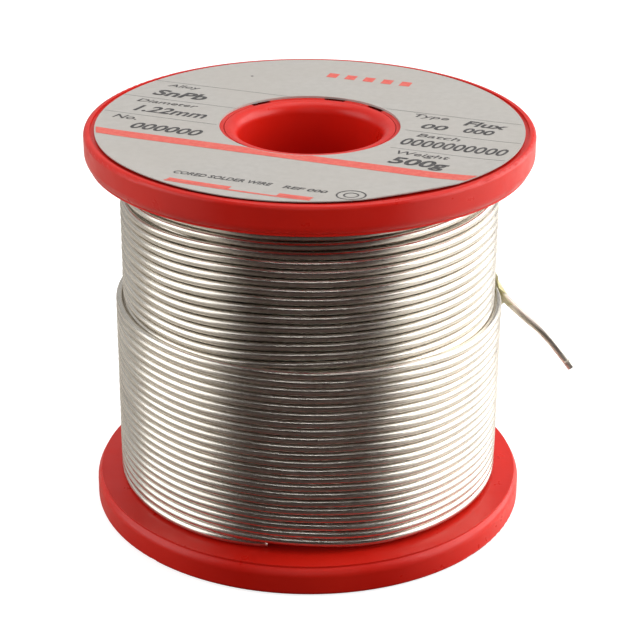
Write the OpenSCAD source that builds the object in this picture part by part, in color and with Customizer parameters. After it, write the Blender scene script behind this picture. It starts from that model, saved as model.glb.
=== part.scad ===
// Spool of flux-cored solder wire. Two flanges and a ribbed barrel are pressed onto a hub
// sleeve, nine layers of wire are wound between the flanges, and the wire's free end leaves
// the outer layer from under a strip of tape. Millimetres, +Z along the hub, base at z = 0.

/* [Spool] */
// Diameter of the two flanges
flange_d = 64; // [62:0.5:90]
// Height over both flanges
spool_h = 58.1; // [46:0.1:80]
// Thickness of each flange at its rim
flange_t = 4.4; // [3.5:0.1:6]
// Rounding of the rim's outer shoulder
shoulder_round = 0.6; // [0.4:0.05:1.6]
// Rounding of the rim's edge beside the wire
inner_round = 1.5; // [0.4:0.1:2]
// Flat land between the shoulder and the label recess
rim_land = 0.3; // [0.1:0.1:2]

/* [Hub] */
// Diameter of the bore through the hub sleeve
bore_d = 20.5; // [16:0.1:25]
// Wall of the hub sleeve
sleeve_wall = 1.9; // [1.6:0.1:2.4]
// Rounding of the sleeve's mouth
mouth_round = 1.5; // [0.5:0.1:1.5]
// Outer diameter of the barrel
barrel_d = 37.2; // [36.5:0.1:40]
// Wall of the barrel
barrel_wall = 1.5; // [1.2:0.1:2]
// Depth of the barrel's seat in each flange
seat_depth = 1.5; // [0.8:0.1:2.4]
// Thickness of the ribs inside the barrel
rib_t = 1.2; // [0.8:0.1:2]
// Clearance between pieces that are pressed together
fit_gap = 0.1; // [0.05:0.01:0.15]

/* [Flange windows] */
// Angle that one window spans
window_span = 14; // [8:1:16]
// Material between a window and the barrel's seat
window_margin = 0.6; // [0.4:0.1:1.5]

/* [Label] */
// Depth of the recess that holds the label
recess_depth = 0.3; // [0.3:0.05:0.8]
// Thickness of the label
label_t = 0.3; // [0.1:0.05:0.3]
// Gap between the label and the edge of its recess
label_gap = 0.1; // [0.1:0.1:1]
// Width of the flange's collar that shows inside the label's hole
collar_w = 0.6; // [0.4:0.1:2]

/* [Wire] */
// Diameter of the wire
wire_d = 1.22; // [1:0.01:1.5]
// Gap between turns that lie side by side
turn_gap = 0.03; // [0.01:0.01:0.05]
// Gap between turns of one layer and the next
nest_gap = 0.01; // [0.01:0.01:0.05]
// Full turns in the outermost layer
outer_turns = 22; // [10:1:30]
// Turns that the layer below leaves out beside the upper flange
bare_turns = 2; // [1:1:4]
// Diameter of one flux core
core_d = 0.27; // [0.2:0.01:0.3]
// Distance of the flux cores from the wire's axis
core_offset = 0.34; // [0.3:0.01:0.4]
// Length of the straight cut end
tip_l = 1.2; // [1:0.1:3]

/* [Tape] */
// Thickness of the tape
tape_t = 0.1; // [0.05:0.05:0.2]
// Angle of the winding that the tape covers
tape_span = 50; // [30:5:90]
// Height of the tape below the outer layer's last turn
tape_below = 5; // [4:0.5:8]
// Height of the tape above the outer layer's last turn
tape_above = 4.6; // [3:0.1:8]

/* [Hidden] */
$fn = 96;
layers = 9;
cores = 5;
flange_r = flange_d / 2;
barrel_r = barrel_d / 2;
bore_r = bore_d / 2;
wire_r = wire_d / 2;
sleeve_r = bore_r + sleeve_wall;
hub_r = sleeve_r + fit_gap;
barrel_in = barrel_r - barrel_wall;
recess_r = flange_r - shoulder_round - rim_land;
label_r = recess_r - label_gap;
label_hole_r = hub_r + collar_w;
// Start angles of the windows' centres over one half turn; the other half repeats them
window_az = [40.5, 73, 125];
// Angles of the ribs, one between each two windows
rib_az = [57, 99, 173];
halves = [0, 180];

// Winding: turns of one layer lie in the grooves of the layer below it
pitch = wire_d + turn_gap;
layer_step = sqrt(pow(wire_d + nest_gap, 2) - pow(pitch / 2, 2));
// Half of the wall that stands for a whole layer of nested turns
layer_half = layer_step / 2 - 0.1;
wind_low = flange_t + turn_gap;
wind_high = spool_h - flange_t - turn_gap;
wind_mid = layers - 1;
function layer_r(k) = barrel_r + wire_r + (k - 1) * layer_step;
function turn_z(k, i) = wind_low + wire_r + (k % 2 == 0 ? pitch / 2 : 0) + i * pitch;
function turns_in(k) = floor((wind_high - wire_r - turn_z(k, 0)) / pitch) + 1;
mid_turns = turns_in(wind_mid) - bare_turns;
outer_top = turn_z(layers, outer_turns - 1) + wire_r;
mid_top = turn_z(wind_mid, mid_turns - 1) + wire_r;
last_turn_z = turn_z(layers, outer_turns);
// The last, part turn of the outer layer runs from the tail's start round the front
last_turn_az = 43;
last_turn_span = 280;

// Inner end of the wire: through the barrel's wall and bent up inside it
start_az = 82;
start_z = flange_t + 2.2;
start_hole_d = wire_d + 0.4;
start_bend_r = barrel_in - 1.6;
start_up = 7;

// Tape over the tail's root
tape_az = 14;
tape_clear = 0.1;
// How far below the last turn the tape still stands off for the tail
tail_drop = 3.2;
tail_top_r = layer_r(layers) + wire_r + wire_d + 0.25;

// Route of the tail, from the end of the last turn to the cut end
tail_route = [
    [20.6, 18.5, 32.6], [22.1, 17.3, 32.5], [23.6, 15.9, 32.3], [25, 14.4, 31.9],
    [26.1, 12.7, 31.6], [26.9, 10.9, 31.3], [27.6, 9, 31], [28.2, 7, 30.6],
    [28.7, 5.3, 30.3], [29.2, 3.9, 29.9], [30.1, 2.6, 29.3], [31.4, 1.2, 28.5],
    [32.8, 0.1, 27.6], [34.2, -0.8, 26.7], [35.7, -1.5, 25.3], [37.1, -2, 23.7],
    [38.3, -2.3, 22.2]];
tail_sides = 8;
tail_end = tail_route[len(tail_route) - 1];
tail_dir = unit(tail_end - tail_route[len(tail_route) - 2]);

function unit(v) = v / norm(v);

// Direction of a route at point i
function heading(route, i) =
    unit(route[min(i + 1, len(route) - 1)] - route[max(i - 1, 0)]);

// One ring of a swept tube: a regular polygon square to the route at point i
function ring(route, i, r, sides) =
    let (t = heading(route, i), side = unit(cross(t, [0, 0, 1])), up = cross(side, t))
    [for (s = [0:sides - 1])
        route[i] + r * (cos(360 * s / sides) * side + sin(360 * s / sides) * up)];

module swept_tube(route, r, sides) {
    rings = len(route);
    polyhedron(
        points = [for (i = [0:rings - 1]) each ring(route, i, r, sides)],
        faces = concat(
            [[for (s = [0:sides - 1]) s]],
            [for (i = [0:rings - 2]) for (s = [0:sides - 1])
                let (n = (s + 1) % sides)
                [i * sides + s, (i + 1) * sides + s, (i + 1) * sides + n, i * sides + n]],
            [[for (s = [sides - 1:-1:0]) (rings - 1) * sides + s]]));
}

// Turns a piece that is modelled along +Z to lie along a direction at a point
module along(point, dir) {
    translate(point)
        rotate([0, acos(dir[2]), atan2(dir[1], dir[0])])
            children();
}

// Right half of a flange's section, with its outer face at z = 0
module flange_section() {
    difference() {
        union() {
            translate([hub_r, 0])
                square([flange_r - shoulder_round - hub_r, flange_t]);
            translate([hub_r, shoulder_round])
                square([flange_r - hub_r, flange_t - inner_round - shoulder_round]);
            translate([hub_r, shoulder_round])
                square([flange_r - inner_round - hub_r, flange_t - shoulder_round]);
            translate([flange_r - shoulder_round, shoulder_round])
                circle(shoulder_round);
            translate([flange_r - inner_round, flange_t - inner_round])
                circle(inner_round);
        }
        translate([0, -1])
            square([recess_r, 1 + recess_depth]);
        translate([barrel_in - fit_gap, flange_t - seat_depth])
            square([barrel_wall + 2 * fit_gap, seat_depth + 1]);
    }
}

// Windows beside the hub, between the spokes that hold the sleeve
module windows() {
    out_r = barrel_in - fit_gap - window_margin;
    for (half = halves, az = window_az)
        rotate([0, 0, half + az - window_span / 2])
            rotate_extrude(angle = window_span)
                translate([hub_r - 1, -1])
                    square([out_r - hub_r + 1, flange_t + 2]);
}

module flange() {
    difference() {
        rotate_extrude()
            flange_section();
        windows();
    }
}

module lower_flange() {
    color("firebrick")
        flange();
}

module upper_flange() {
    color("firebrick")
        translate([0, 0, spool_h])
            mirror([0, 0, 1])
                flange();
}

// Half of the sleeve's section: a wall whose two mouths are rounded
module sleeve_section() {
    low = recess_depth;
    high = spool_h - recess_depth;
    difference() {
        translate([bore_r, low])
            square([sleeve_wall, high - low]);
        for (z = [low, high - mouth_round])
            translate([bore_r - 1, z == low ? z - 1 : z])
                square([mouth_round + 1, mouth_round + 1]);
    }
    for (z = [low + mouth_round, high - mouth_round])
        intersection() {
            translate([bore_r + mouth_round, z])
                circle(mouth_round);
            translate([bore_r, low])
                square([sleeve_wall, high - low]);
        }
}

module hub_sleeve() {
    color("firebrick")
        rotate_extrude()
            sleeve_section();
}

module barrel() {
    low = flange_t - seat_depth;
    rib_in = sleeve_r + fit_gap;
    color("firebrick")
        difference() {
            union() {
                difference() {
                    translate([0, 0, low])
                        cylinder(r = barrel_r, h = spool_h - 2 * low);
                    translate([0, 0, low - 1])
                        cylinder(r = barrel_in, h = spool_h - 2 * low + 2);
                }
                for (half = halves, az = rib_az)
                    rotate([0, 0, half + az])
                        translate([rib_in, -rib_t / 2, flange_t])
                            cube([barrel_r - barrel_wall / 2 - rib_in, rib_t,
                                spool_h - 2 * flange_t]);
            }
            rotate([0, 0, start_az])
                translate([barrel_in - 1, 0, start_z])
                    rotate([0, 90, 0])
                        cylinder(d = start_hole_d, h = barrel_wall + 2);
        }
}

module label() {
    color("gainsboro")
        translate([0, 0, spool_h - recess_depth])
            difference() {
                cylinder(r = label_r, h = label_t);
                translate([0, 0, -1])
                    cylinder(r = label_hole_r, h = label_t + 2);
            }
}

// Section of a layer: a plain wall where another layer covers it, and round turns where it
// shows, from turn number first to turn number last
module layer_section(k, low, covered_to, high, first, last) {
    r = layer_r(k);
    if (covered_to > low)
        translate([r - layer_half, low])
            square([2 * layer_half, covered_to - low]);
    if (last >= first) {
        translate([r - layer_half, low])
            square([layer_half, high - low]);
        for (i = [first:last])
            translate([r, turn_z(k, i)])
                circle(wire_r);
    }
}

// Turns of a layer that lie wholly above a height
function first_clear(k, z) = ceil((z + wire_r - turn_z(k, 0)) / pitch);

module wire_layer(k) {
    color("silver")
        rotate_extrude() {
            if (k < wind_mid - 1)
                layer_section(k, wind_low, wind_high, wind_high, 1, 0);
            else if (k == wind_mid - 1)
                layer_section(k, wind_low, mid_top, turn_z(k, turns_in(k) - 1),
                    first_clear(k, mid_top), turns_in(k) - 1);
            else if (k == wind_mid)
                layer_section(k, wind_low, outer_top, mid_top - wire_r,
                    first_clear(k, outer_top), mid_turns - 1);
            else
                layer_section(k, wind_low, wind_low, outer_top - wire_r, 0, outer_turns - 1);
        }
    if (k == layers)
        color("silver")
            rotate([0, 0, last_turn_az])
                rotate_extrude(angle = last_turn_span) {
                    translate([layer_r(k) - layer_half, outer_top - wire_r])
                        square([layer_half, last_turn_z - outer_top + wire_r]);
                    translate([layer_r(k), last_turn_z])
                        circle(wire_r);
                }
}

module wire_start() {
    color("silver")
        rotate([0, 0, start_az]) {
            translate([start_bend_r, 0, start_z])
                rotate([0, 90, 0])
                    cylinder(d = wire_d, h = barrel_r - start_bend_r);
            translate([start_bend_r, 0, start_z])
                sphere(d = wire_d);
            translate([start_bend_r, 0, start_z])
                cylinder(d = wire_d, h = start_up);
        }
}

// Tape over the upper layer, the tail's root and the outer layer
module tail_tape() {
    step_z = last_turn_z + wire_r + tape_clear;
    upper_r = layer_r(wind_mid) + wire_r + tape_clear;
    outer_r = layer_r(layers) + wire_r + tape_clear;
    side = [
        [outer_r, last_turn_z - tape_below], [outer_r, last_turn_z - tail_drop - 0.3],
        [tail_top_r, last_turn_z - tail_drop], [tail_top_r, step_z],
        [upper_r, step_z + 0.6], [upper_r, last_turn_z + tape_above]];
    color("khaki")
        rotate([0, 0, tape_az])
            rotate_extrude(angle = tape_span)
                polygon(concat(side,
                    [for (i = [len(side) - 1:-1:0])
                        side[i] + [tape_t, (i < len(side) / 2 ? -1 : 1) * tape_t / 2]]));
}

module wire_tail() {
    color("silver")
        swept_tube(tail_route, wire_r, tail_sides);
}

// Places a copy at each flux core of the cut end
module at_cores() {
    for (i = [0:cores - 1])
        rotate([0, 0, 360 * i / cores])
            translate([core_offset, 0, 0])
                children();
}

module wire_tip() {
    color("silver")
        along(tail_end, tail_dir)
            difference() {
                cylinder(r = wire_r, h = tip_l);
                at_cores()
                    translate([0, 0, tip_l / 2])
                        cylinder(d = core_d, h = tip_l);
            }
}

// Flux that fills the cores to just below the cut
module flux_cores() {
    color("wheat")
        along(tail_end, tail_dir)
            at_cores()
                translate([0, 0, tip_l / 2])
                    cylinder(d = core_d - 0.02, h = tip_l / 2 - 0.08);
}

lower_flange();
upper_flange();
hub_sleeve();
barrel();
label();
for (k = [1:layers]) wire_layer(k);
wire_start();
tail_tape();
wire_tail();
wire_tip();
flux_cores();
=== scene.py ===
"""Solder wire spool: the looks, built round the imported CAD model.

Lengths are metres. MM turns the millimetres that the design is written in into metres.
The order is camera and cord first, then materials, the winding, the label and its print,
the tape, and last the floor and the lights.
"""
import math

import bpy
import numpy as np
from mathutils import Matrix, Vector, noise


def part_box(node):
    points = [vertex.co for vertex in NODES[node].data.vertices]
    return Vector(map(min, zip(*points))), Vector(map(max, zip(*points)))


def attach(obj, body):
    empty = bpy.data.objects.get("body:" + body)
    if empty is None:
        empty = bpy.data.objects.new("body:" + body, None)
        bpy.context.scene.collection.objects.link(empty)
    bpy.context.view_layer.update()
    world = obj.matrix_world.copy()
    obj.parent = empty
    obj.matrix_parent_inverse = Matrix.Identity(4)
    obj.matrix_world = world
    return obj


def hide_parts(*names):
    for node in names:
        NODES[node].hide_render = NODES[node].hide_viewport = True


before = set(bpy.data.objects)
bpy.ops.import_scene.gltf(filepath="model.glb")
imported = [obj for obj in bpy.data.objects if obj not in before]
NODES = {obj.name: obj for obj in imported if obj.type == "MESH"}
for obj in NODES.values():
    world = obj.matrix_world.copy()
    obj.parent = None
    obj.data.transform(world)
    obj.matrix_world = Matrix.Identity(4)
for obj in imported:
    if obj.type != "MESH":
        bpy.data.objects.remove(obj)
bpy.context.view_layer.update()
MM = 0.001

# ---------------------------------------------------------------- sizes from the frame

SPOOL_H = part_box("upper_flange")[1].z
FLANGE_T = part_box("lower_flange")[1].z
LABEL_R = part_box("label")[1].x
LABEL_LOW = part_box("label")[0].z
LABEL_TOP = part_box("label")[1].z
WIRE_R = 0.61 * MM
PITCH = 1.25 * MM
OUTER_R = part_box("wire_layer_9")[1].x - WIRE_R
MIDDLE_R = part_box("wire_layer_8")[1].x - WIRE_R
INNER_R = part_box("wire_layer_7")[1].x - WIRE_R
WIND_LOW = FLANGE_T + 0.03 * MM
WIND_HIGH = SPOOL_H - WIND_LOW


def polar(r, azimuth, z):
    """A point from its radius, its azimuth in degrees and its height."""
    a = math.radians(azimuth)
    return Vector((r * math.cos(a), r * math.sin(a), z))


# ---------------------------------------------------------------- meshes

def mesh_piece(name, verts, faces, material, uvs=None, smooth=True):
    """A mesh object from lists; uvs has one pair for each vertex."""
    mesh = bpy.data.meshes.new(name)
    mesh.from_pydata([tuple(v) for v in verts], [], faces)
    if uvs is not None:
        layer = mesh.uv_layers.new(name="UVMap")
        corner = np.zeros(len(mesh.loops), dtype=np.int64)
        mesh.loops.foreach_get("vertex_index", corner)
        layer.data.foreach_set("uv", np.asarray(uvs, dtype=np.float32)[corner].ravel())
    mesh.polygons.foreach_set("use_smooth", [smooth] * len(mesh.polygons))
    mesh.update()
    piece = bpy.data.objects.new(name, mesh)
    bpy.context.scene.collection.objects.link(piece)
    piece.data.materials.append(material)
    return piece


def frames_along(points):
    """Tangent, side and up at each point, carried along so that they never twist."""
    tangents = np.gradient(points, axis=0)
    tangents /= np.linalg.norm(tangents, axis=1)[:, None]
    sides = np.zeros_like(points)
    side = np.cross(tangents[0], (0.0, 0.0, 1.0))
    for i, t in enumerate(tangents):
        side = side - t * np.dot(side, t)
        side = side / np.linalg.norm(side)
        sides[i] = side
    return tangents, sides, np.cross(sides, tangents)


def tube(points, radius, sides, close=True):
    """Vertices, faces and UVs of a round tube; u is the length in metres, v goes round once."""
    points = np.asarray(points, dtype=float)
    _, side, up = frames_along(points)
    turn = np.linspace(0.0, 2 * math.pi, sides, endpoint=False)
    ring = np.cos(turn)[None, :, None] * side[:, None, :]
    ring = ring + np.sin(turn)[None, :, None] * up[:, None, :]
    radii = np.broadcast_to(np.asarray(radius, dtype=float), (len(points),))
    verts = (points[:, None, :] + radii[:, None, None] * ring).reshape(-1, 3)
    length = np.concatenate(([0.0], np.cumsum(np.linalg.norm(np.diff(points, axis=0), axis=1))))
    uvs = np.stack([np.repeat(length, sides), np.tile(turn / (2 * math.pi), len(points))], 1)
    faces = []
    for i in range(len(points) - 1):
        for s in range(sides):
            n = (s + 1) % sides
            faces.append((i * sides + s, i * sides + n, (i + 1) * sides + n, (i + 1) * sides + s))
    if close:
        last = (len(points) - 1) * sides
        faces.append(tuple(range(sides - 1, -1, -1)))
        faces.append(tuple(last + s for s in range(sides)))
    return verts, faces, uvs


def smooth_route(points, steps):
    """A Catmull-Rom curve through the points, with so many steps between each two."""
    p = [np.asarray(q, dtype=float) for q in points]
    p = [2 * p[0] - p[1]] + p + [2 * p[-1] - p[-2]]
    out = []
    for i in range(1, len(p) - 2):
        a, b, c, d = p[i - 1:i + 3]
        for s in range(steps):
            t = s / steps
            out.append(0.5 * (2 * b + (c - a) * t + (2 * a - 5 * b + 4 * c - d) * t ** 2
                              + (3 * b - a - 3 * c + d) * t ** 3))
    out.append(p[-2])
    return np.array(out)


def sheet_solid(grid, thickness):
    """Vertices and faces of a closed thin sheet, from rows of points, thickened along normals."""
    grid = np.asarray(grid, dtype=float)
    rows, cols = grid.shape[:2]
    normal = np.cross(np.gradient(grid, axis=1), np.gradient(grid, axis=0))
    normal /= np.linalg.norm(normal, axis=2)[:, :, None]
    verts = np.concatenate([grid.reshape(-1, 3), (grid + normal * thickness).reshape(-1, 3)])
    base = rows * cols

    def at(i, j):
        return i * cols + j

    faces = []
    for i in range(rows - 1):
        for j in range(cols - 1):
            faces.append((at(i, j), at(i + 1, j), at(i + 1, j + 1), at(i, j + 1)))
            faces.append(tuple(base + k for k in
                               (at(i, j), at(i, j + 1), at(i + 1, j + 1), at(i + 1, j))))
    rim = [at(0, j) for j in range(cols)] + [at(i, cols - 1) for i in range(1, rows)]
    rim += [at(rows - 1, j) for j in range(cols - 2, -1, -1)]
    rim += [at(i, 0) for i in range(rows - 2, 0, -1)]
    for a, b in zip(rim, rim[1:] + rim[:1]):
        faces.append((a, b, b + base, a + base))
    return verts, faces


# ---------------------------------------------------------------- node materials

class Shader:
    """A small helper that builds one node material round a Principled shader."""

    def __init__(self, name, **sockets):
        self.material = bpy.data.materials.new(name)
        self.material.use_nodes = True
        self.tree = self.material.node_tree
        self.tree.nodes.clear()
        self.bsdf = self.add("ShaderNodeBsdfPrincipled")
        out = self.add("ShaderNodeOutputMaterial")
        self.link(self.bsdf.outputs[0], out.inputs[0])
        for socket, value in sockets.items():
            self.bsdf.inputs[socket.replace("_", " ")].default_value = value

    def add(self, kind, **props):
        node = self.tree.nodes.new(kind)
        for key, value in props.items():
            setattr(node, key, value)
        return node

    def link(self, a, b):
        self.tree.links.new(a, b)

    def coordinates(self, output, scale=(1, 1, 1)):
        source = self.add("ShaderNodeTexCoord")
        mapping = self.add("ShaderNodeMapping")
        mapping.inputs["Scale"].default_value = scale
        self.link(source.outputs[output], mapping.inputs["Vector"])
        return mapping.outputs[0]

    def noise(self, vector, scale, detail=2.0, roughness=0.5):
        node = self.add("ShaderNodeTexNoise")
        node.inputs["Scale"].default_value = scale
        node.inputs["Detail"].default_value = detail
        node.inputs["Roughness"].default_value = roughness
        self.link(vector, node.inputs["Vector"])
        return node.outputs["Fac"]

    def spread(self, value, low, high, to_low, to_high):
        node = self.add("ShaderNodeMapRange")
        for socket, number in zip(("From Min", "From Max", "To Min", "To Max"),
                                  (low, high, to_low, to_high)):
            node.inputs[socket].default_value = number
        self.link(value, node.inputs["Value"])
        return node.outputs[0]

    def blend(self, factor, first, second):
        node = self.add("ShaderNodeMix", data_type="RGBA")
        self.link(factor, node.inputs[0])
        for socket, value in ((node.inputs[6], first), (node.inputs[7], second)):
            if isinstance(value, tuple):
                socket.default_value = (*value, 1.0)
            else:
                self.link(value, socket)
        return node.outputs[2]

    def bump(self, height, distance, strength=1.0, normal=None):
        node = self.add("ShaderNodeBump")
        node.inputs["Strength"].default_value = strength
        node.inputs["Distance"].default_value = distance
        self.link(height, node.inputs["Height"])
        if normal is not None:
            self.link(normal, node.inputs["Normal"])
        return node.outputs[0]

    def into(self, socket, value):
        self.link(value, self.bsdf.inputs[socket])


def spool_plastic():
    """Red moulded plastic: satin, with a slight wave from the mould and fine rubbing marks."""
    s = Shader("spool_plastic", IOR=1.5, Specular_IOR_Level=0.34)
    place = s.coordinates("Object")
    tint = s.noise(place, 60, 3)
    s.into("Base Color", s.blend(s.spread(tint, 0.35, 0.65, 0, 1),
                                 (0.66, 0.011, 0.0045), (0.74, 0.016, 0.007)))
    rubbed = s.noise(place, 260, 4, 0.6)
    s.into("Roughness", s.spread(rubbed, 0.3, 0.7, 0.26, 0.44))
    wave = s.bump(s.noise(place, 90, 1), 0.25 * MM, 0.5)
    grain = s.bump(s.noise(place, 1500, 2), 0.01 * MM, 0.5, wave)
    s.into("Normal", grain)
    return s.material


def solder_metal(name, smoothest, roughest):
    """Drawn solder: bright grey metal with long streaks and a faint brown bloom."""
    s = Shader(name, Metallic=1.0)
    along = s.coordinates("UV", (60, 3, 1))
    streak = s.coordinates("UV", (150, 22, 1))
    bloom = s.noise(along, 1.0, 3)
    s.into("Base Color", s.blend(s.spread(bloom, 0.3, 0.7, 0, 1),
                                 (0.62, 0.58, 0.515), (0.80, 0.755, 0.68)))
    s.into("Roughness", s.spread(s.noise(streak, 1.0, 3), 0.3, 0.7,
                                 smoothest, roughest))
    s.into("Normal", s.bump(s.noise(streak, 1.0, 4, 0.6), 0.03 * MM, 0.5))
    return s.material


def plain_metal(name, smoothest, roughest):
    """The same metal for CAD nodes, which carry no UVs: with rings of fine grooves."""
    s = Shader(name, Metallic=1.0)
    place = s.coordinates("Object", (1, 1, 14))
    s.into("Base Color", s.blend(s.noise(place, 120, 3),
                                 (0.58, 0.545, 0.49), (0.76, 0.72, 0.65)))
    s.into("Roughness", s.spread(s.noise(place, 500, 3), 0.3, 0.7, smoothest, roughest))
    s.into("Normal", s.bump(s.noise(place, 90, 2), 0.05 * MM, 0.5))
    return s.material


def label_paper():
    """Coated label stock: warm light grey with a soft fleck."""
    s = Shader("label_paper", IOR=1.45)
    place = s.coordinates("Object")
    fleck = s.noise(place, 900, 3, 0.6)
    cloud = s.noise(place, 70, 2)
    paper = s.blend(s.spread(fleck, 0.3, 0.7, 0, 1), (0.468, 0.446, 0.412), (0.512, 0.49, 0.455))
    s.into("Base Color", s.blend(s.spread(cloud, 0.4, 0.6, 0, 0.35), paper, (0.484, 0.449, 0.404)))
    s.into("Roughness", s.spread(cloud, 0.3, 0.7, 0.38, 0.5))
    s.into("Normal", s.bump(fleck, 0.01 * MM, 0.4))
    return s.material


def ink(name, thin, full, roughness):
    """Printing ink, a little uneven where the paper shows through it."""
    s = Shader(name)
    place = s.coordinates("Object")
    mottle = s.noise(place, 1400, 3, 0.6)
    s.into("Base Color", s.blend(s.spread(mottle, 0.35, 0.65, 0, 1), thin, full))
    s.into("Roughness", s.spread(mottle, 0.3, 0.7, roughness, roughness + 0.12))
    return s.material


def tape_film():
    """Pale yellow adhesive tape, thin enough to see the wire through."""
    s = Shader("tape_film", Alpha=0.62, IOR=1.48)
    place = s.coordinates("Object")
    cloud = s.noise(place, 350, 3)
    s.into("Base Color", s.blend(s.spread(cloud, 0.35, 0.65, 0, 1),
                                 (0.80, 0.74, 0.36), (0.90, 0.87, 0.60)))
    s.into("Roughness", s.spread(cloud, 0.3, 0.7, 0.22, 0.38))
    s.into("Normal", s.bump(s.noise(place, 700, 3), 0.04 * MM, 0.6))
    return s.material


def flux_resin():
    """Rosin in the cut cores: amber and a little cloudy."""
    s = Shader("flux", IOR=1.52)
    place = s.coordinates("Object")
    cloud = s.noise(place, 6000, 2)
    s.into("Base Color", s.blend(cloud, (0.72, 0.50, 0.20), (0.88, 0.76, 0.48)))
    s.into("Roughness", s.spread(cloud, 0.3, 0.7, 0.2, 0.4))
    return s.material


# ---------------------------------------------------------------- camera

CAMERA_PLACE = (0.0, -0.26167, 0.14774)
CAMERA_PITCH = 24.66
CAMERA_ROLL = 0.0083
CAMERA_YAW = -0.0063
CAMERA_LENS = 109.23


def make_camera():
    data = bpy.data.cameras.new("camera")
    data.lens = CAMERA_LENS
    data.sensor_width = 36.0
    data.clip_start = 0.01
    data.clip_end = 50.0
    camera = bpy.data.objects.new("camera", data)
    bpy.context.scene.collection.objects.link(camera)
    turn = Matrix.Rotation(CAMERA_YAW, 4, "Z")
    tip = Matrix.Rotation(math.radians(90.0 - CAMERA_PITCH), 4, "X")
    roll = Matrix.Rotation(CAMERA_ROLL, 4, "Z")
    camera.matrix_world = Matrix.Translation(CAMERA_PLACE) @ turn @ tip @ roll
    bpy.context.scene.camera = camera


make_camera()

# ---------------------------------------------------------------- the wire's free end

SOLDER = solder_metal("solder_wire", 0.18, 0.33)
HANDLED = solder_metal("solder_handled", 0.36, 0.52)
FLUX = flux_resin()
TAIL_ROUTE = [
    (20.6, 18.5, 32.6), (22.1, 17.3, 32.5), (23.6, 15.9, 32.3), (25.0, 14.4, 31.9),
    (26.1, 12.7, 31.6), (26.9, 10.9, 31.3), (27.6, 9.0, 31.0), (28.2, 7.0, 30.6),
    (28.7, 5.3, 30.3), (29.2, 3.9, 29.9), (30.1, 2.6, 29.3), (31.4, 1.2, 28.5),
    (32.8, 0.1, 27.6), (34.2, -0.8, 26.7), (35.7, -1.5, 25.3), (37.1, -2.0, 23.7),
    (38.3, -2.3, 22.2)]
TAIL = smooth_route([[c * MM for c in p] for p in TAIL_ROUTE], 6)


def make_tail():
    verts, faces, uvs = tube(TAIL, WIRE_R, 20)
    tail = mesh_piece("wire_tail_swept", verts, faces, HANDLED, uvs)
    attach(tail, "root")
    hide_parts("wire_tail")
    return tail


make_tail()

# ---------------------------------------------------------------- winding

def step_share(angle, start, way, zones):
    """How much of a pitch a turn has moved at an angle from 0 to 360 past its start. Most of it
    is in the zones, each (first azimuth, last azimuth, width, share): a zone drifts from its
    first to its last azimuth as way, the share of the layer that is wound, goes from 0 to 1."""
    moved = (1 - sum(zone[3] for zone in zones)) * angle / 360
    for first, last, width, share in zones:
        centre = (first + (last - first) * way - start) % 360
        t = min(max((angle - (centre - width / 2)) / width, 0.0), 1.0)
        moved += share * t * t * (3 - 2 * t)
    return moved


def wander(azimuth, turn, seed):
    """A small smooth offset, from -1 to 1, that closes on itself round the winding."""
    a = math.radians(azimuth)
    return noise.noise((1.6 * math.cos(a) + seed, 1.6 * math.sin(a), turn * 0.45))


def turns_moved(travelled, turns, start, zones):
    """How many pitches a layer has moved after so many turns."""
    whole = math.floor(travelled)
    return whole + step_share((travelled - whole) * 360, start, travelled / turns, zones)


def wound(radius, start, z_start, turns, pitch, zones, seed, per_turn, shape=None):
    """Points of one layer of turns. It starts at azimuth start and goes round anticlockwise,
    and a positive pitch rises. shape, if given, moves a point from its radius and height."""
    points = []
    for i in range(int(round(turns * per_turn)) + 1):
        travelled = min(i / per_turn, turns)
        azimuth = start + travelled * 360
        r = radius + 0.035 * MM * wander(azimuth, travelled, seed)
        z = z_start + pitch * turns_moved(travelled, turns, start, zones)
        z += 0.04 * MM * wander(azimuth, travelled, seed + 9)
        if shape:
            r, z = shape(r, z, azimuth, travelled)
        points.append(polar(r, azimuth, z))
    return points


def layer_piece(name, node, points, sides):
    verts, faces, uvs = tube(points, WIRE_R, sides)
    piece = mesh_piece(name, verts, faces, SOLDER, uvs)
    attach(piece, "root")
    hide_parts(node)
    return piece


# Zones where the turns step along, as step_share takes them
OUTER_ZONES = [(100, 100, 60, 0.25), (-90, -90, 60, 0.25), (-50, -82, 30, 0.45)]
OUTER_TURNS = 22.6
MIDDLE_ZONES = [(-53, -143, 45, 0.6)]
MIDDLE_PITCH = 1.325 * MM
INNER_ZONES = [(60, 60, 90, 0.5)]


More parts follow.
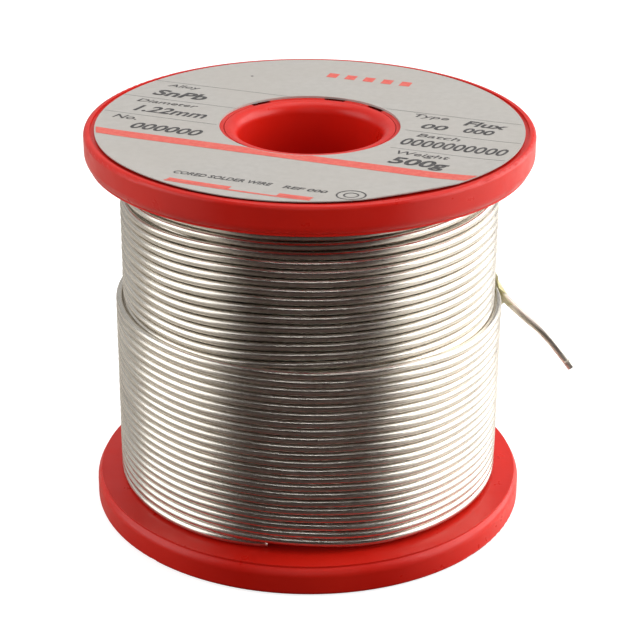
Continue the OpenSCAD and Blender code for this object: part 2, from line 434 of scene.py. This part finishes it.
def make_winding():
    # Outer layer: from the tail's start down to the lower flange
    tail_start = TAIL[0]
    tail_az = math.degrees(math.atan2(tail_start[1], tail_start[0]))
    low = WIND_LOW + WIRE_R
    moved = turns_moved(OUTER_TURNS, OUTER_TURNS, tail_az, OUTER_ZONES)
    outer_pitch = (tail_start[2] - low) / moved

    def tuck(r, z, azimuth, travelled):
        """The lowest turn dives under the next one where the layer began."""
        near = min(max((travelled - OUTER_TURNS + 0.07) / 0.07, 0.0), 1.0)
        return r - 0.9 * MM * near * near, max(z, low)

    outer = wound(OUTER_R, tail_az, tail_start[2], OUTER_TURNS, -outer_pitch, OUTER_ZONES, 1.0,
                  120, tuck)
    layer_piece("wire_outer_turns", "wire_layer_9", outer, 16)

    # Middle layer: from the lower flange up, wound with the other lead and a little looser
    high = WIND_HIGH - WIRE_R
    middle_start = low + PITCH / 2 + 0.035 * MM
    middle_turns = (high - middle_start) / MIDDLE_PITCH

    def shoulder(r, z, azimuth, travelled):
        """The last turns spread and sink where they turn back beside the flange."""
        near = min(max(3.4 - (middle_turns - travelled), 0.0), 1.0)
        side = 0.5 + 0.5 * math.cos(math.radians(2 * (azimuth + 10)))
        return r - 0.35 * MM * near * side, min(z + 0.4 * MM * near * side, high)

    middle = wound(MIDDLE_R, 130, middle_start, middle_turns, MIDDLE_PITCH, MIDDLE_ZONES, 5.0,
                   120, shoulder)
    layer_piece("wire_middle_turns", "wire_layer_8", middle, 14)

    # Inner layer: mostly covered
    inner = wound(INNER_R, 200, low, (high - low) / PITCH, PITCH, INNER_ZONES, 8.0, 72)
    layer_piece("wire_inner_turns", "wire_layer_7", inner, 8)


make_winding()

BURIED = plain_metal("solder_buried", 0.25, 0.45)
TIP = plain_metal("solder_tip", 0.36, 0.52)
for k in range(1, 7):
    NODES[f"wire_layer_{k}"].data.materials.clear()
    NODES[f"wire_layer_{k}"].data.materials.append(BURIED)
for name, material in (("wire_start", BURIED), ("wire_tip", TIP), ("flux_cores", FLUX)):
    NODES[name].data.materials.clear()
    NODES[name].data.materials.append(material)

# ---------------------------------------------------------------- spool

PLASTIC = spool_plastic()
for name in ("lower_flange", "upper_flange", "hub_sleeve", "barrel"):
    NODES[name].data.materials.clear()
    NODES[name].data.materials.append(PLASTIC)

# ---------------------------------------------------------------- label

LABEL_HOLE_R = 12.85 * MM
LABEL_T = LABEL_TOP - LABEL_LOW
LABEL_TURN = math.radians(-19.8)
PRINT_TILT = -0.0107
# Shift of all the print, in label millimetres
PRINT_OFFSET = (0.12, -0.33)
# The straight part of the label's edge: its middle azimuth and half its width, in degrees
CHORD_AZ = -64
CHORD_HALF = 14
# Thickness of the curled edge
EDGE_T = 0.12 * MM
INK_RISE = 0.012 * MM
INK_T = 0.012 * MM


def label_curl(x, y):
    """From 0 where the label lies flat to 1 at its near edge, where it has come up."""
    r = math.hypot(x, y)
    edge = max(0.0, (r - 0.8 * LABEL_R) / (0.2 * LABEL_R))
    near = min(max(0.35 - y / r, 0.0), 1.0)
    return edge * edge * near


def label_lift(x, y):
    """Height of the label's face above where it lies flat: its edge curls up a little."""
    wave = noise.noise((x * 70, y * 70, 2.0))
    soft = 0.02 * MM * (0.5 + noise.noise((x * 45, y * 45, 7.0)))
    return label_curl(x, y) * MM * (0.28 + 0.10 * wave) + soft


def label_edge(azimuth):
    """The label's outer radius: cut by hand, narrower at the sides and straight at one place."""
    r = LABEL_R - 0.28 * MM * (1 + math.cos(math.radians(2 * azimuth)))
    r -= 0.03 * MM * (1 + math.sin(math.radians(azimuth * 3)))
    off = azimuth - CHORD_AZ
    if abs(off) < CHORD_HALF:
        r = min(r, LABEL_R * math.cos(math.radians(CHORD_HALF)) / math.cos(math.radians(off)))
    return r


def make_label():
    rings, around = 14, 240
    verts, faces = [], []
    for top in (0, 1):
        for i in range(rings + 1):
            for j in range(around):
                azimuth = -180 + 360 * j / around
                r = LABEL_HOLE_R + (label_edge(azimuth) - LABEL_HOLE_R) * i / rings
                p = polar(r, azimuth, 0)
                face = LABEL_TOP + label_lift(p.x, p.y)
                thick = LABEL_T + (EDGE_T - LABEL_T) * label_curl(p.x, p.y)
                verts.append((p.x, p.y, face if top else face - thick))
    layer = (rings + 1) * around

    def at(top, i, j):
        return top * layer + i * around + j % around

    for i in range(rings):
        for j in range(around):
            faces.append((at(1, i, j), at(1, i + 1, j), at(1, i + 1, j + 1), at(1, i, j + 1)))
            faces.append((at(0, i, j), at(0, i, j + 1), at(0, i + 1, j + 1), at(0, i + 1, j)))
    for j in range(around):
        faces.append((at(0, rings, j), at(0, rings, j + 1), at(1, rings, j + 1), at(1, rings, j)))
        faces.append((at(0, 0, j), at(1, 0, j), at(1, 0, j + 1), at(0, 0, j + 1)))
    label = mesh_piece("label_sheet", verts, faces, label_paper(), smooth=False)
    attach(label, "root")
    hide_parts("label")


make_label()


def label_plan(x, y):
    """Label millimetres to metres in plan."""
    p = Vector(((x + PRINT_OFFSET[0]) * MM, (y + PRINT_OFFSET[1]) * MM, 0.0))
    p.rotate(Matrix.Rotation(LABEL_TURN, 3, "Z"))
    return p


class Print:
    """Collects flat printed shapes in label millimetres and lays them on the label."""

    def __init__(self):
        self.verts, self.faces = [], []

    def on_label(self, x, y, rise):
        """Label millimetres to a point on the paper, in metres."""
        p = label_plan(x, y)
        return (p.x, p.y, LABEL_TOP + label_lift(p.x, p.y) + INK_RISE + rise)

    def strip(self, x0, x1, y0, y1, slant=0.0, pieces=24, tilt=PRINT_TILT):
        """A straight bar, cut into short lengths so that it follows the paper."""
        xs = np.linspace(x0, x1, pieces + 1)
        base = len(self.verts)
        for rise in (0.0, INK_T):
            for x in xs:
                self.verts.append(self.on_label(x, y0 + tilt * x, rise))
                self.verts.append(self.on_label(x + slant, y1 + tilt * x, rise))
        top = 2 * (pieces + 1)
        for k in range(pieces):
            a = base + 2 * k
            self.faces.append((a + top, a + top + 2, a + top + 3, a + top + 1))
            self.faces.append((a, a + 1, a + 3, a + 2))
            self.faces.append((a, a + 2, a + top + 2, a + top))
            self.faces.append((a + 1, a + top + 1, a + top + 3, a + 3))
        for a in (base, base + 2 * pieces):
            self.faces.append((a, a + top, a + top + 1, a + 1) if a == base
                              else (a, a + 1, a + top + 1, a + top))

    def ring(self, x, y, r, width, around=28):
        """A thin ring."""
        base = len(self.verts)
        for rise in (0.0, INK_T):
            for k in range(around):
                a = 2 * math.pi * k / around
                for rr in (r - width, r):
                    self.verts.append(self.on_label(x + rr * math.cos(a),
                                                    y + rr * math.sin(a), rise))
        top = 2 * around
        for k in range(around):
            a, b = base + 2 * k, base + 2 * ((k + 1) % around)
            self.faces.append((a + top, a + top + 1, b + top + 1, b + top))
            self.faces.append((a, b, b + 1, a + 1))
            self.faces.append((a, a + top, b + top, b))
            self.faces.append((a + 1, b + 1, b + top + 1, a + top + 1))

    def words(self, text, x0, x1, y0, y1, bold=0.0, lean=0.0):
        """Generic lettering stretched to fill a box."""
        curve = bpy.data.curves.new("words", "FONT")
        curve.body = text
        curve.size = 1.0
        curve.offset = bold
        curve.shear = lean
        curve.resolution_u = 3
        curve.extrude = 0.01
        carrier = bpy.data.objects.new("words", curve)
        bpy.context.scene.collection.objects.link(carrier)
        bpy.context.view_layer.update()
        mesh = bpy.data.meshes.new_from_object(carrier.evaluated_get(
            bpy.context.evaluated_depsgraph_get()))
        co = np.array([v.co for v in mesh.vertices])
        low, high = co.min(0), co.max(0)
        base = len(self.verts)
        for x, y, z in co:
            px = x0 + (x - low[0]) / (high[0] - low[0]) * (x1 - x0)
            py = y0 + (y - low[1]) / (high[1] - low[1]) * (y1 - y0)
            self.verts.append(self.on_label(px, py, INK_T if z > 0 else 0.0))
        self.faces += [tuple(base + k for k in p.vertices) for p in mesh.polygons]
        bpy.data.objects.remove(carrier)
        bpy.data.curves.remove(curve)
        bpy.data.meshes.remove(mesh)

    def piece(self, name, material):
        printed = mesh_piece(name, self.verts, self.faces, material, smooth=False)
        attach(printed, "root")


def label_reach(y, side, gap=0.25):
    """Where a line at height y meets the label's edge: side is -1 for left and 1 for right."""
    reach = 20.0 * side
    for _ in range(5):
        p = label_plan(reach, y)
        r = label_edge(math.degrees(math.atan2(p.y, p.x))) / MM - gap
        reach = side * math.sqrt(r * r - (y + PRINT_OFFSET[1]) ** 2) - PRINT_OFFSET[0]
    return reach


def make_print():
    dark, rules, red = Print(), Print(), Print()
    lean = 0.22
    # (text, x0, x1, y0, y1, bold)
    captions = [
        ("Alloy", -26.0, -20.92, 8.85, 10.38, 0.004),
        ("Diameter", -27.42, -17.95, 1.19, 2.42, 0.004),
        ("No.", -27.65, -23.96, -6.73, -5.2, 0.004),
        ("Type", 12.58, 17.76, 8.43, 10.17, 0.004),
        ("Batch", 15.44, 21.72, 0.75, 2.07, 0.004),
        ("Weight", 14.92, 22.39, -7.41, -5.68, 0.004)]
    values = [
        ("SnPb", -26.67, -18.29, 4.76, 7.41, 0.03),
        ("1.22mm", -26.2, -15.13, -2.86, -0.26, 0.02),
        ("000000", -23.54, -12.97, -10.07, -7.52, 0.02),
        ("00", 14.9, 18.69, 4.34, 6.48, 0.02),
        ("Flux", 20.26, 26.54, 7.63, 9.77, 0.025),
        ("000", 20.98, 25.37, 4.68, 6.72, 0.025),
        ("0000000000", 14.17, 29.23, -3.16, -0.3, 0.015),
        ("500g", 14.85, 23.22, -11.6, -8.13, 0.03)]
    for text, x0, x1, y0, y1, bold in captions + values:
        dark.words(text, x0, x1, y0, y1, bold, lean)
    dark.words("CORED SOLDER WIRE", -10.4, 3.5, -24.75, -23.65, 0.02, lean)
    dark.words("REF 000", 5.1, 11.2, -24.85, -23.8, 0.02, lean)
    dark.ring(14.5, -24.5, 2.0, 0.22)
    dark.ring(14.5, -24.5, 1.05, 0.2)
    dark.ring(-16.0, 18.35, 0.22, 0.2, 10)
    for y, left, right in ((10.94, -6.8, 7.9), (3.03, -12.4, 13.2), (-4.67, -12.4, 13.5)):
        rules.strip(label_reach(y, -1), left, y - 0.05, y + 0.05)
        rules.strip(right, label_reach(y, 1), y - 0.05, y + 0.05)
    stripe(red, -14.15, -11.86)
    red.strip(-10.15, 10.15, -28.35, -27.9, 0.05)
    red.strip(-10.0, -1.2, -27.8, -26.85, 0.1)
    red.strip(5.5, 10.15, -27.8, -26.85, 0.1)
    emblem(red)
    dark.piece("label_print_dark",
               ink("ink_dark", (0.085, 0.08, 0.078), (0.035, 0.033, 0.034), 0.4))
    rules.piece("label_rules", ink("ink_grey", (0.34, 0.33, 0.32), (0.24, 0.235, 0.23), 0.45))
    red.piece("label_print_red", ink("ink_red", (0.80, 0.15, 0.11), (0.76, 0.11, 0.085), 0.38))


def stripe(red, low, high):
    """The broad red stripe, whose ends follow the label's round edge and its hole."""
    hole = LABEL_HOLE_R / MM + 0.12
    aside, down = PRINT_OFFSET
    ys = np.linspace(low, high, 17)
    for a, b in zip(ys, ys[1:]):
        left, right = (label_reach((a + b) / 2, side, 0.12) for side in (-1, 1))
        if abs(b + down) < hole:
            gap = math.sqrt(hole ** 2 - (b + down) ** 2)
            red.strip(left, -gap - aside, a, b)
            red.strip(gap - aside, right, a, b)
        else:
            red.strip(left, right, a, b, pieces=48)


def emblem(red):
    """A plain ornament: five equal upright blocks in a row."""
    for k in range(5):
        x = -5.4 + 2.9 * k
        red.strip(x, x + 1.6, 22.0, 24.0, 0.0, 3)


make_print()

# ---------------------------------------------------------------- tape

TAPE_T = 0.08 * MM
TAPE_LOW = 27.6 * MM
TAPE_HIGH = 36.9 * MM
STEP_Z = 33.2 * MM
TAPE_MATERIAL = tape_film()


def tail_at(azimuth):
    """The free end's radius and height where it passes an azimuth."""
    az = np.degrees(np.arctan2(TAIL[:, 1], TAIL[:, 0]))[::-1]
    r = np.hypot(TAIL[:, 0], TAIL[:, 1])[::-1]
    return float(np.interp(azimuth, az, r)), float(np.interp(azimuth, az, TAIL[::-1, 2]))


def tape_radius(azimuth, z):
    """Where the tape lies: on the outer layer, on the middle layer, and up over the tail."""
    t = min(max((z - STEP_Z) / (1.6 * MM), 0.0), 1.0)
    drop = t * t * (3 - 2 * t)
    base = OUTER_R + WIRE_R + 0.05 * MM - drop * (OUTER_R - MIDDLE_R)
    r, z_tail = tail_at(azimuth)
    proud = max(r + WIRE_R + 0.05 * MM - base, 0.0)
    fall = (z - z_tail) / (1.15 * MM)
    wrinkle = 0.05 * MM * noise.noise((azimuth * 0.35, z * 700, 3.0))
    return base + proud * math.exp(-fall * fall) + wrinkle


def make_tape():
    columns, rows = 90, 44
    grid = []
    for j in range(rows + 1):
        z = TAPE_LOW + (TAPE_HIGH - TAPE_LOW) * j / rows
        ragged = 1.2 * noise.noise((z * 2400, 0.0, 1.0))
        end = 7.0 + ragged - 4.0 * max(0.0, (z - STEP_Z) / (TAPE_HIGH - STEP_Z))
        start = 60 + ragged
        row = []
        for i in range(columns + 1):
            azimuth = start + (end - start) * i / columns
            row.append(polar(tape_radius(azimuth, z), azimuth, z))
        grid.append(row)
    verts, faces = sheet_solid(grid, TAPE_T)
    tape = mesh_piece("tape_strip", verts, faces, TAPE_MATERIAL)
    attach(tape, "root")
    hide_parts("tail_tape")

    # The tape's end stays stuck round the free wire for a few millimetres
    first, last = 42, 62
    slant = 5
    _, side, up = frames_along(TAIL)
    around = 12
    grid = []
    for k in range(around + 1):
        angle = math.radians(-150 + 210 * k / around)
        row = []
        for i in range(first, last + 1):
            at = min(i, last - slant + int(round(slant * k / around)))
            blend_in = (i - at) * 0.15
            out = side[at] * math.cos(angle) + up[at] * math.sin(angle)
            ahead = (TAIL[min(at + 1, last)] - TAIL[at]) * blend_in
            row.append(TAIL[at] + out * (WIRE_R + 0.04 * MM) + ahead)
        grid.append(row)
    verts, faces = sheet_solid(grid, -TAPE_T)
    flap = mesh_piece("tape_flap", verts, faces, TAPE_MATERIAL)
    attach(flap, "root")


make_tape()

# ---------------------------------------------------------------- floor and lights

def bounce_colour(tree):
    """What the floor gives back to the object: like white cards at its sides, the brighter one
    on the right, and a dark cloth in front."""
    def math_node(operation, a, b):
        node = tree.nodes.new("ShaderNodeMath")
        node.operation = operation
        for socket, value in zip(node.inputs, (a, b)):
            if isinstance(value, float):
                socket.default_value = value
            else:
                tree.links.new(value, socket)
        return node.outputs[0]

    def blend(value, first, second):
        soft = tree.nodes.new("ShaderNodeMapRange")
        soft.inputs["From Min"].default_value = -0.02
        soft.inputs["From Max"].default_value = 0.02
        tree.links.new(value, soft.inputs["Value"])
        mix = tree.nodes.new("ShaderNodeMix")
        mix.data_type = "RGBA"
        tree.links.new(soft.outputs[0], mix.inputs[0])
        for socket, colour in ((mix.inputs[6], first), (mix.inputs[7], second)):
            if isinstance(colour, tuple):
                socket.default_value = (*colour, 1.0)
            else:
                tree.links.new(colour, socket)
        return mix.outputs[2]

    place = tree.nodes.new("ShaderNodeTexCoord")
    split = tree.nodes.new("ShaderNodeSeparateXYZ")
    tree.links.new(place.outputs["Object"], split.inputs[0])
    x, y = split.outputs[0], split.outputs[1]
    away = math_node("MULTIPLY", math_node("ABSOLUTE", x, 0.0), -0.95)
    front = math_node("SUBTRACT", away, y)
    sides = blend(x, (0.56, 0.53, 0.485), (0.90, 0.87, 0.82))
    return blend(front, sides, (0.075, 0.055, 0.05))


def make_floor():
    """Plain and pale to the camera; the object is lit by bounce_colour."""
    bpy.ops.mesh.primitive_plane_add(size=12.0, location=(0, 0, -0.00005))
    floor = bpy.context.object
    floor.name = "floor"
    material = bpy.data.materials.new("floor")
    material.use_nodes = True
    tree = material.node_tree
    tree.nodes.clear()
    out = tree.nodes.new("ShaderNodeOutputMaterial")
    lit = tree.nodes.new("ShaderNodeBsdfDiffuse")
    lit.inputs["Color"].default_value = (0.5, 0.5, 0.5, 1)
    glow = tree.nodes.new("ShaderNodeEmission")
    glow.inputs["Color"].default_value = (0.78, 0.78, 0.78, 1)
    seen = tree.nodes.new("ShaderNodeAddShader")
    tree.links.new(lit.outputs[0], seen.inputs[0])
    tree.links.new(glow.outputs[0], seen.inputs[1])
    bounced = tree.nodes.new("ShaderNodeBsdfDiffuse")
    tree.links.new(bounce_colour(tree), bounced.inputs["Color"])
    path = tree.nodes.new("ShaderNodeLightPath")
    mix = tree.nodes.new("ShaderNodeMixShader")
    tree.links.new(path.outputs["Is Camera Ray"], mix.inputs[0])
    tree.links.new(bounced.outputs[0], mix.inputs[1])
    tree.links.new(seen.outputs[0], mix.inputs[2])
    tree.links.new(mix.outputs[0], out.inputs[0])
    floor.data.materials.append(material)


def softbox(name, azimuth, elevation, distance, width, height, power, aim=(0, 0, 0.03)):
    data = bpy.data.lights.new(name, "AREA")
    data.shape = "RECTANGLE"
    data.size = width
    data.size_y = height
    data.energy = power
    light = bpy.data.objects.new(name, data)
    bpy.context.scene.collection.objects.link(light)
    place = polar(distance * math.cos(math.radians(elevation)), azimuth,
                  distance * math.sin(math.radians(elevation))) + Vector(aim)
    light.location = place
    light.rotation_euler = (Vector(aim) - place).to_track_quat("-Z", "Y").to_euler()
    light.visible_camera = False
    return light


def make_lights():
    softbox("left_box", -172, 20, 0.6, 0.55, 0.6, 2.1)
    softbox("right_box", 8, 22, 0.6, 0.9, 0.6, 5.6)
    softbox("top_box", 60, 78, 0.8, 0.7, 0.6, 2.6)
    # A weak fill for the red front that the metal doesn't mirror, and a thin strip that is
    # only mirrored
    fill = softbox("front_fill", -90, 18, 0.8, 0.6, 0.4, 1.1)
    fill.visible_glossy = False
    strip = softbox("crest_strip", -90, 48, 0.6, 0.4, 0.035, 0.2)
    strip.visible_diffuse = False

    world = bpy.data.worlds.new("world")
    bpy.context.scene.world = world
    world.use_nodes = True
    tree = world.node_tree
    tree.nodes.clear()
    out = tree.nodes.new("ShaderNodeOutputWorld")
    place = tree.nodes.new("ShaderNodeTexCoord")
    split = tree.nodes.new("ShaderNodeSeparateXYZ")
    tree.links.new(place.outputs["Generated"], split.inputs[0])
    ramp = tree.nodes.new("ShaderNodeValToRGB")
    shift = tree.nodes.new("ShaderNodeMapRange")
    shift.inputs["From Min"].default_value = -1.0
    shift.inputs["From Max"].default_value = 1.0
    tree.links.new(split.outputs[1], shift.inputs[0])
    tree.links.new(shift.outputs[0], ramp.inputs[0])
    stops = ramp.color_ramp.elements
    stops[0].position, stops[0].color = 0.30, (0.03, 0.02, 0.018, 1)
    stops[1].position, stops[1].color = 0.75, (0.5, 0.5, 0.5, 1)
    around = tree.nodes.new("ShaderNodeBackground")
    tree.links.new(ramp.outputs[0], around.inputs[0])
    seen = tree.nodes.new("ShaderNodeBackground")
    seen.inputs[0].default_value = (0.96, 0.96, 0.96, 1)
    path = tree.nodes.new("ShaderNodeLightPath")
    mix = tree.nodes.new("ShaderNodeMixShader")
    tree.links.new(path.outputs["Is Camera Ray"], mix.inputs[0])
    tree.links.new(around.outputs[0], mix.inputs[1])
    tree.links.new(seen.outputs[0], mix.inputs[2])
    tree.links.new(mix.outputs[0], out.inputs[0])


make_floor()
make_lights()
bpy.context.scene.view_settings.view_transform = "Standard"
